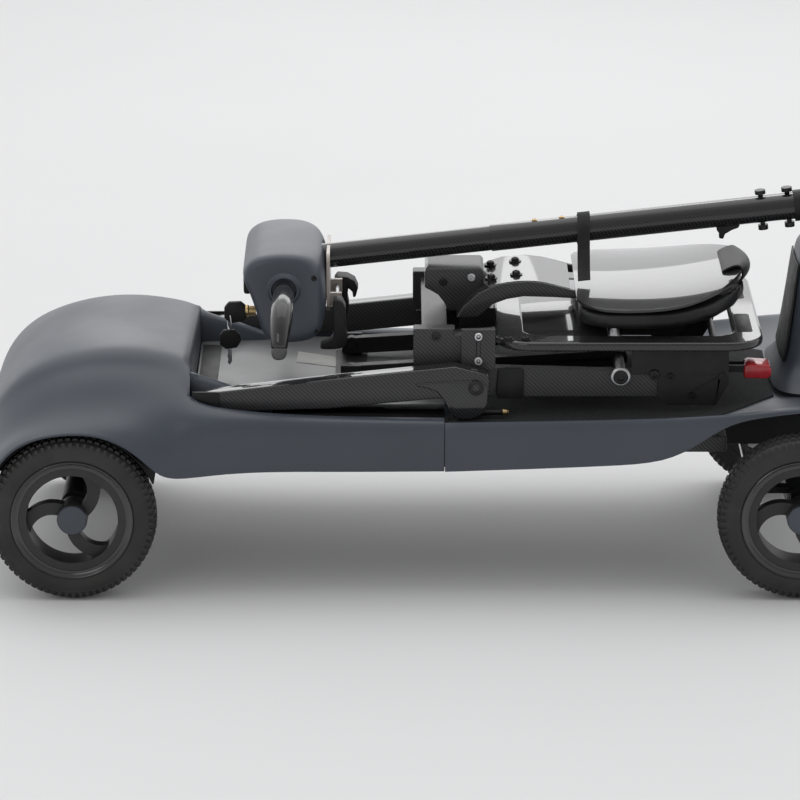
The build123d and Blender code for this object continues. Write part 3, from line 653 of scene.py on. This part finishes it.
right_paddle = slab("right_paddle", [(-124, 321), (-119, 323), (-113, 321), (-109, 312), (-109, 285),
    (-107, 276), (-109, 267), (-116, 262.5), (-128, 261.5), (-138, 262), (-140, 264), (-138, 266.5),
    (-130, 269), (-125, 274), (-122.5, 282), (-124.5, 300)], -70, -45, bevel=0.0028)
left_paddle = slab("left_paddle", [(-124, 316), (-120, 321), (-108, 320), (-99, 315), (-95, 306),
    (-98, 295), (-101, 294), (-102, 301), (-107, 306), (-108, 295), (-106, 284), (-109, 270), (-118, 268),
    (-123, 282)], 44, 70, bevel=0.0024)
shaft = turned("throttle_shaft", [(-66, 0.01), (-66, 2.6), (-65, 3.1), (65, 3.1), (66, 2.6), (66, 0.01)],
    (-120, 314), steps=24)
made(right_paddle, "throttle", BLACK_MOULDED, "black_plastic", "throttle_lever", angle=50)
made(left_paddle, "throttle", BLACK_MOULDED, "black_plastic", angle=50)
made(shaft, "throttle", STEEL, "steel", angle=50)

# ------------------ ignition key
# A brass lock barrel in the head's rear face, its key with a moulded eight-sided bow, and a split ring
# that carries the spare key by its bow.
def bored(name, start, profile, steps=32):
    """A profile of (x, radius) points turned about an axle along x, from a start point."""
    rows = []
    for step in range(steps + 1):
        angle = 2 * math.pi * step / steps
        rows.append([(start[0] + x, start[1] + r * math.sin(angle), start[2] + r * math.cos(angle))
            for x, r in profile])
    piece = laid_grid(name, rows)
    closed_up(piece)
    return piece


BRASS = grained("lock_brass", (0.50, 0.36, 0.17), (0.62, 0.47, 0.25), 0.3, metal=1.0, scale=60, grain=700,
    strength=0.1)
barrel = bored("lock_barrel", (-218, -20, 296), [(0, 0.01), (0, 6), (-8, 6), (-9, 7.4), (-11, 7.6),
    (-12.4, 6.8), (-12.6, 4), (-14, 3.4), (-14, 0.01)])
made(barrel, "key", BRASS, "steel", "ignition_key", angle=40)
bow_outline = [(-13, -6), (-13, 6), (-8, 12), (5, 12.5), (12, 6), (13, -2), (8, -10), (-6, -12)]
key_bow = slab("key_bow", [(-241.5 + u * 1.12, 294 + v * 1.1) for u, v in bow_outline], -23.8, -16.2,
    bevel=0.0016)
made(key_bow, "key", BLACK_MOULDED, "black_plastic", angle=40)
spare_bow = slab("spare_key_bow", [(-249 + u * 0.98, 260 + v) for u, v in bow_outline], -23, -17,
    bevel=0.0014)
made(spare_bow, "key", BLACK_MOULDED, "black_plastic", "key_ring", angle=40)
spare_blade = slab("spare_key_blade", [(-252.6, 252), (-247.4, 252), (-247.4, 232), (-248.6, 230.5),
    (-250, 228), (-252.6, 231), (-251.6, 235), (-252.6, 239), (-251.8, 244), (-252.6, 248)], -21.1, -18.9,
    bevel=0.0003)
made(spare_blade, "key", STEEL, "steel", angle=40)
bpy.ops.mesh.primitive_torus_add(major_radius=0.0105, minor_radius=0.0009, major_segments=48,
    minor_segments=10, location=(-0.250, -0.020, 0.2815), rotation=(0, math.pi / 2, 0.25))
split_ring = bpy.context.object
split_ring.name = split_ring.data.name = "split_ring"
edited(split_ring, (bpy.ops.transform.resize, {"value": (1, 0.94, 1)}))
made(split_ring, "key", STEEL, "steel")

# ------------------ horn button and speed dial
# A red push button, and a knurled black dial with a pale pointer, both on the rear face of the head
# where the rider's thumbs reach.
RED_BUTTON = grained("red_moulding", (0.55, 0.015, 0.018), (0.62, 0.02, 0.022), 0.34, scale=30, grain=800,
    strength=0.1, coat=0.3)
horn = bored("horn_cap", (-222, 45, 335), [(6, 0.01), (0, 6.9), (-7.5, 6.9), (-9.2, 6.2), (-10, 4.6),
    (-10, 0.01)])
made(horn, "horn", RED_BUTTON, "red_plastic", "horn_button", angle=40)
dial_rows = []
for x, r in ((16, 0.01), (12, 2.9), (4, 2.9), (4, 11.8), (2.6, 12.2), (-1, 12), (-2.4, 11.2), (-2.9, 9),
        (-2.9, 0.01)):
    ring = []
    for step in range(97):
        angle = 2 * math.pi * step / 96
        notch = 0.45 * math.cos(24 * angle) if r > 11.5 else 0
        ring.append((-228.4 + x, -48 + (r + notch) * math.sin(angle), 338 + (r + notch) * math.cos(angle)))
    dial_rows.append(ring)
dial = laid_grid("speed_dial_knob", dial_rows)
closed_up(dial)
made(dial, "dial", BLACK_MOULDED, "black_plastic", "speed_dial", angle=30)
pointer = slab("dial_pointer", [(-231.8, 341), (-231, 341), (-231, 349), (-231.8, 349)], -48.7, -47.3,
    bevel=0.0001)
made(pointer, "dial", WARM_LIT_PLATE_AND_PALE_POINTER, "light_plate")

# ------------------ floor panel
# The light grey lacquered cover over the battery, with a dark vent strip at its rear and a blank label
# plate stuck on it.
PANEL_GREY = grained("panel_grey", (0.105, 0.107, 0.109), (0.128, 0.130, 0.132), 0.4, scale=9, grain=700,
    strength=0.06, coat=0.2, coat_rough=0.2)
soften("floor_panel", PANEL_GREY, 0.0012, 2)
panel_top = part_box("floor_panel")[1].z * 1000
vent = slab("floor_vent_strip", [(-287, -104), (-264, -104), (-264, 104), (-287, 104)], panel_top - 0.6,
            panel_top + 0.9, bevel=0.0004, plane="flat")
made(vent, "chassis", BLACK_MOULDED, "black_plastic")
LABEL = grained("blank_label", (0.34, 0.335, 0.32), (0.40, 0.395, 0.38), 0.45, scale=40, grain=900,
    strength=0.1)
label = slab("floor_blank_label", [(-171, 30), (-117, 8), (-116, 50), (-169, 76)], panel_top - 0.4,
    panel_top + 0.5, bevel=0.0002, plane="flat")
made(label, "chassis", LABEL, "light_plate")

# ------------------ lift arms
# Carbon box arms that raise the seat: satin twill sides, a polished upper edge, and a lacquered lug
# wrapped round the foot of each under its upper pivot.
def faces_take(piece, mat, chosen):
    """The faces whose (centre, normal) pass the test take a second finish."""
    piece.data.materials.append(mat)
    spare = len(piece.data.materials) - 1
    for face in piece.data.polygons:
        if chosen(face.center, face.normal):
            face.material_index = spare


for side, label in SIDES:
    arm = slab(f"lift_arm_{label}_box", [(-280, 216), (-276, 213.5), (-126.6, 218.5), (0, 231), (22, 229),
        (52, 231), (61, 234), (62, 255), (57, 261), (21, 270), (-126.6, 254.4), (-272, 237.5), (-281, 234),
        (-284, 225)], *sorted((side * 148, side * 172)), bevel=0.0022)
    made(arm, "lift_arms", CARBON_SATIN, "carbon", f"lift_arm_{label}", angle=40)
    faces_take(arm, CARBON_GLOSS, lambda centre, normal: normal.z > 0.45)
    lug = slab(f"lift_arm_{label}_lug", [(-26, 247), (-12, 244.5), (0, 240), (8, 229), (14, 216), (21, 208),
        (29, 205.5), (40, 205.5), (46, 208), (56, 214), (60, 226), (60, 244), (55, 252), (30, 254),
        (0, 252), (-24, 250)], *sorted((side * 146.4, side * 174)), bevel=0.0032, segments=4)
    made(lug, "lift_arms", CARBON_GLOSS, "carbon", angle=40)
    nut = turned(f"lift_pivot_{label}_bolt", ((170, 0.01), (170, 9), (175.2, 9), (176, 8.2), (176, 4.6),
        (174.6, 4.2), (174.6, 0.01)), (46, 245), steps=40, side=side)
    made(nut, "lift_arms", DARK_STEEL, "black_metal")
    tip = bored(f"stop_bolt_{label}_tip", (84, side * 160, 211), [(0.5, 0.01), (0.5, 3.2), (-4, 3.9),
        (-6, 3.9), (-6, 0.01)], steps=20)
    made(tip, "lift_arms", BRASS, "steel")
    # the carrier's washers, socket bolts and bushing
    for name, centre, out, radius, mat, slot_name in (
            ("rear_bolt", (88, 240), 138, 6.4, DARK_STEEL, "black_metal"),
            ("bush_ring", (217.8, 250), 144.4, 11.5, STEEL, "steel"),
            ("bush_bolt", (217.8, 250), 145.4, 8.6, DARK_STEEL, "black_metal"),
            ("latch_bolt", (258, 252), 142.2, 6.2, DARK_STEEL, "black_metal"),
            ("latch_low_bolt", (303, 226), 142.2, 4.2, DARK_STEEL, "black_metal"),
            ("latch_stop", (277, 250), 142.2, 4, BLACK_MOULDED, "black_plastic"),
            ("plate_top_ring", (49, 300), 146, 4.9, STEEL, "steel"),
            ("plate_low_ring", (49, 270), 146, 4.9, STEEL, "steel"),
            ("plate_top_hole", (49, 300), 144.8, 2.8, BLACK_MOULDED, "black_plastic"),
            ("plate_low_hole", (49, 270), 144.8, 2.8, BLACK_MOULDED, "black_plastic"),
            ("block_bolt", (-1, 298), 138, 5, DARK_STEEL, "black_metal")):
        hollow = radius * (0.78 if name == "bush_ring" else 0.54)
        head_piece = turned(f"seat_{label}_{name}", ((out - 1, 0.01), (out - 1, radius), (out + 2, radius),
            (out + 2.8, radius * 0.88), (out + 2.8, hollow), (out + 0.8, hollow * 0.9), (out + 0.8, 0.01)),
            centre, steps=32, side=side)
        made(head_piece, "seat", mat, slot_name)
    tab = slab(f"seat_{label}_rear_tab", [(73, 222), (100, 222), (103, 226), (103, 256), (99, 260),
        (76, 260), (72, 256), (70, 228)], *sorted((side * 138.2, side * 141.4)), bevel=0.0008)
    made(tab, "seat", BLACK_COAT, "black_metal")

# ------------------ seat tray
# The lacquered carbon plate that the seat cushion clips on: a thick rounded frame, with two dark slots
# let into its front cross member, and a plate across its rear with its bolts.
def upright(name, centre, profile, steps=24):
    """A profile of (height, radius) points in millimetres, turned about a vertical axis."""
    x, y, z = centre
    turns = [2 * math.pi * step / steps for step in range(steps + 1)]
    piece = laid_grid(name, [[(x + r * math.cos(a), y + r * math.sin(a), z + up) for a in turns]
        for up, r in profile])
    closed_up(piece)
    return piece


soften("seat_tray", CARBON_GLOSS, 0.0034, 4)
for side, label in SIDES:
    y0, y1 = sorted((side * 34, side * 112))
    slot_piece = slab(f"tray_slot_{label}", [(361, y0), (373, y0), (376, y0 + 3), (376, y1 - 3), (373, y1),
        (361, y1), (358, y1 - 3), (358, y0 + 3)], 295.4, 296.3, bevel=0.0003, plane="flat")
    made(slot_piece, "seat", BLACK_MOULDED, "black_plastic")

rear_plate = slab("tray_rear_plate", [(78, -132), (196, -132), (204, -124), (204, 124), (196, 132),
    (78, 132)], 288, 295.2, bevel=0.001, plane="flat")
made(rear_plate, "seat", CARBON_GLOSS, "carbon")
for side, label in SIDES:
    for name, x in (("rear", 84), ("front", 104)):
        bolt = upright(f"tray_bolt_{name}_{label}", (x, side * 146, 296),
            ((-2, 0.01), (-2, 7), (0.7, 7), (0.9, 4.8), (3.6, 4.4), (4.6, 3), (4.6, 1.9), (3, 1.8),
            (3, 0.01)))
        made(bolt, "seat", DARK_STEEL, "black_metal")

# ------------------ backrest hinge bracket
# The folded backrest's carbon bracket: two arched webs in satin twill under a lacquered top plate, and
# a clamp block at its rear with its bolts.
for side, label in SIDES:
    web = slab(f"backrest_web_{label}", [(24, 299), (32, 312), (50, 329), (66, 337), (80, 341.5),
        (110, 344), (128, 342), (145, 338), (165, 332.5), (185, 329), (206, 327), (206, 323), (185, 323),
        (165, 323), (140, 324.5), (104, 325.5), (84, 322), (68, 316), (50, 300)],
        *sorted((side * 55, side * 62)), bevel=0.0012)
    made(web, "seat", CARBON_SATIN, "carbon", *(["backrest_bracket"] if side < 0 else []), angle=40)
top_rows = []
for x, z in ((24, 301), (34, 315), (50, 330), (66, 338), (80, 342.5), (110, 345), (128, 343), (150, 337),
        (160, 334.5)):
    top_rows.append([(x, y, z) for y in (-58, -56, -40, 0, 40, 56, 58)])
top = laid_grid("backrest_top_plate", top_rows)
skinned(top, 0.003, levels=1)
made(top, "seat", CARBON_GLOSS, "carbon")
clamp = slab("backrest_clamp", [(-14, 349), (-10, 352), (54, 352), (57, 348), (57, 331), (46, 322),
    (34, 299), (14, 299), (9, 310), (2, 319), (-8, 325), (-14, 328)], -32, 32, bevel=0.002)
made(clamp, "seat", CARBON_SATIN, "carbon")
faces_take(clamp, CARBON_GLOSS, lambda centre, normal: normal.x < -0.5)
for name, x, y, z in (("right_front", 66, -30, 340), ("left_front", 66, 30, 340),
        ("right_rear", 96, -30, 344.5), ("left_rear", 96, 30, 344.5)):
    bolt = upright(f"bracket_bolt_{name}", (x, y, z), ((-3, 0.01), (-3, 7.5), (0.6, 7.5), (0.8, 5),
        (3.6, 4.6), (4.8, 3), (4.8, 2), (3, 1.8), (3, 0.01)))
    made(bolt, "seat", DARK_STEEL, "black_metal")
for name, x, z, mat, slot_name in (("upper", 42, 341, STEEL, "steel"),
        ("lower", 8, 336, DARK_STEEL, "black_metal")):
    for side, label in SIDES:
        stud = turned(f"clamp_bolt_{name}_{label}", ((31, 0.01), (31, 5), (34, 5), (34.8, 4.2), (34.8, 2.2),
            (33.4, 2), (33.4, 0.01)), (x, z), steps=24, side=side)
        made(stud, "seat", mat, slot_name)

# ------------------ backrest shell
# A thin lacquered shell, straight across its hinge end, rounded at its top end and curled up there,
# with so deep a polish that it mirrors the tiller above it.
BACKREST_GLOSS, shell_tree, shell_shader, shell_place = new_finish("backrest_lacquer", 0.35, coat=1.0,
    coat_rough=0.02, spec=0.15)
mottled(shell_tree, shell_shader, shell_place, (0.017, 0.017, 0.018), (0.024, 0.024, 0.025), 12)
orange_peel = node_link(shell_tree, "ShaderNodeTexNoise", in_0=shell_place, in_2=22.0, in_3=1.0)
bumped(shell_tree, shell_shader, orange_peel.outputs["Fac"], 0.05, 0.002)


def shell_height(x, y):
    """The shell's upper face, in millimetres: curled up at its end, drooping at its sides."""
    return 337 + 21 * max(0, (x - 225) / 148) ** 2 - 7 * min(1, abs(y) / 140) ** 3


shell_plan = ((166, 96), (170, 112), (182, 128), (200, 138), (235, 140), (275, 139), (305, 130), (330, 113),
    (350, 87), (362, 62), (369, 36), (372, 12))
shell_rows = [[(x, half * share, shell_height(x, half * share)) for share in (-1, -0.97, -0.85, -0.6, -0.3,
    0, 0.3, 0.6, 0.85, 0.97, 1)] for x, half in shell_plan]
shell_piece = laid_grid("backrest_lacquered_shell", shell_rows)
skinned(shell_piece, 0.0035, levels=2, bevel=0.001, segments=3)
made(shell_piece, "seat", BACKREST_GLOSS, "carbon", "backrest_shell")

# ------------------ backrest pad
# Foam in black vinyl, glued in the shell with its face down when folded. Its thick rounded edge follows
# the shell's plan and turns up round the top end, where a vinyl sleeve holds it.
PAD_VINYL, pad_tree, pad_shader, pad_place = new_finish("pad_vinyl", 0.46, spec=0.3)
mottled(pad_tree, pad_shader, pad_place, (0.010, 0.010, 0.011), (0.017, 0.017, 0.018), 18)
hide = node_link(pad_tree, "ShaderNodeTexVoronoi", in_0=pad_place, in_2=900.0)
creases = node_link(pad_tree, "ShaderNodeTexNoise", in_0=pad_place, in_2=55.0, in_3=4.0)
both_grains = node_link(pad_tree, "ShaderNodeMath", operation="ADD", in_0=hide.outputs["Distance"],
    in_1=creases.outputs["Fac"])
bumped(pad_tree, pad_shader, both_grains.outputs[0], 0.3, 0.0005)
pad_rows = []
for x, half in shell_plan:
    spread = half + 3.5
    reach = x + (3 if x > 300 else 0)
    low = max(0, (x - 250) / 122) ** 2 * 22
    ring = []
    for share, drop in ((-0.9, 3), (-0.985, 4), (-1.01, 8), (-1.012, 14), (-0.99, 20), (-0.93, 24),
            (-0.75, 26.5), (-0.4, 27.5), (0, 28), (0.4, 27.5), (0.75, 26.5), (0.93, 24), (0.99, 20),
            (1.012, 14), (1.01, 8), (0.985, 4), (0.9, 3), (0.52, 17), (0, 17), (-0.52, 17), (-0.9, 3)):
        y = spread * share
        ring.append((reach, y, 331 + low * 0.85 - drop))
    pad_rows.append(ring)
pad = laid_grid("backrest_foam_pad", pad_rows)
closed_up(pad, gap=SHEET_GAP, fill=True)
applied(pad, "SUBSURF", levels=1, render_levels=1)
CLOTH_STEPS = 20
MOST_SWELL = 0.003
applied(pad, "REMESH", mode="VOXEL", voxel_size=0.005)
before = [vertex.co.copy() for vertex in pad.data.vertices]
on_only(pad)
cloth = pad.modifiers.new("foam", "CLOTH")
cloth.settings.use_pressure = True
cloth.settings.uniform_pressure_force = 4
cloth.settings.effector_weights.gravity = 0
cloth.point_cache.frame_start, cloth.point_cache.frame_end = 1, CLOTH_STEPS
for frame_number in range(1, CLOTH_STEPS + 1):
    scene.frame_set(frame_number)
bpy.ops.object.modifier_apply(modifier=cloth.name)
for vertex, start in zip(pad.data.vertices, before):
    swell = vertex.co - start
    if swell.length > MOST_SWELL:
        vertex.co = start + swell.normalized() * MOST_SWELL
scene.frame_set(1)
applied(pad, "SUBSURF", levels=1, render_levels=1)
made(pad, "seat", PAD_VINYL, "pad_vinyl", "backrest_pad", angle=60)
sleeve_rows = []
for x, lift in ((343, 0.9), (345.5, 2.6), (352, 3.6), (362, 4), (371, 3), (377, -1), (379.5, -8),
        (377, -15), (370, -20)):
    sleeve_rows.append([(x - 11 * (x - 343) / 34 * (abs(y) / 46) ** 2, y,
        shell_height(min(x, 372), y) + lift) for y in (-46, -43, -30, -15, 0, 15, 30, 43, 46)])
sleeve = laid_grid("backrest_top_sleeve", sleeve_rows)
skinned(sleeve, 0.0022, offset=0, levels=2)
made(sleeve, "seat", PAD_VINYL, "pad_vinyl", angle=60)

# ------------------ seat latch
# A translucent red release tab on two black steel forks that turn on a cross rod through the plates.
RED_TAB, red_tree, red_shader, red_place = new_finish("red_translucent_tab", 0.24, coat=0.5)
mottled(red_tree, red_shader, red_place, (0.60, 0.02, 0.03), (0.78, 0.06, 0.07), 60)
red_shader.inputs["Transmission Weight"].default_value = 0.25
soften("seat_latch", BLACK_COAT, 0.0008, 2)
tab = slab("latch_red_tab", [(366, 239), (394, 238), (399, 242), (399, 252), (395, 255.5), (372, 257),
    (366, 254)], -115, -85, bevel=0.0025)
made(tab, "latch", RED_TAB, "red_plastic", angle=40)

# ------------------ tiller strap
# A loop of 15 mm black webbing round the tiller, its tail hanging down the right side, that ties the
# folded backrest.
WEBBING, web_tree, web_shader, web_place = new_finish("strap_webbing", 0.8)
mottled(web_tree, web_shader, web_place, (0.010, 0.010, 0.010), (0.020, 0.020, 0.020), 60)
ribs = node_link(web_tree, "ShaderNodeTexWave", in_0=web_place, in_1=330.0, in_2=1.5)
bumped(web_tree, web_shader, ribs.outputs["Fac"], 0.5, 0.0004)
TILLER_RISE = 62 / 560
HINGE_X, HINGE_Z = 518, 431.6
WEB_R = 17.5


def on_tiller(back):
    """The x and z of the tiller's axis, a distance back from its hinge."""
    lean = math.atan(TILLER_RISE)
    return HINGE_X - back * math.cos(lean), HINGE_Z - back * math.sin(lean)


strap_x, strap_z = on_tiller(343)
loop_line = [(WEB_R * math.sin(a), WEB_R * math.cos(a)) for a in (math.pi * k / 12 for k in range(25))]
tail_line = [(7, 18), (1.5, 19.4), (-3.5, 19.1), (-8.6, 17.5), (-14.6, 12.6), (-18.4, 6), (-19.4, -1),
    (-20.6, -10), (-23.5, -20), (-28, -31), (-34, -41), (-41, -48), (-50, -51.5)]
bands = []
for line in (loop_line, tail_line):
    band = laid_grid("band", [[(strap_x + along, y, strap_z + up + along * TILLER_RISE)
        for along in (-7.5, -6.8, -3, 0, 3, 6.8, 7.5)] for y, up in line])
    skinned(band, 0.0013, offset=0, levels=1)
    bands.append(band)
strap = joined("tiller_webbing", bands)
made(strap, "tiller", WEBBING, "strap_web", "tiller_strap", angle=50)

# ------------------ tiller details
# Two brass countersunk screws hold the cable guide inside the tiller, and a rubber hook under it
# catches the end of the folded backrest.
for name, back in (("rear", 402), ("front", 369)):
    x, z = on_tiller(back)
    screw = upright(f"tiller_screw_{name}", (x, 0, z), ((14, 0.01), (14, 3), (16.6, 3.6), (17.6, 3),
        (17.8, 1.6), (17, 1.2), (17, 0.01)))
    made(screw, "tiller", BRASS, "steel")
hook_z = on_tiller(176)[1]
hook = slab("tiller_hook", [(338, hook_z - 14), (338, hook_z - 20), (341, hook_z - 24), (341, hook_z - 30),
    (346, hook_z - 31), (348, hook_z - 25), (356, hook_z - 20), (364, hook_z - 17), (366, hook_z - 13)], -5,
    5, bevel=0.0012)
made(hook, "tiller", BLACK_MOULDED, "black_plastic")
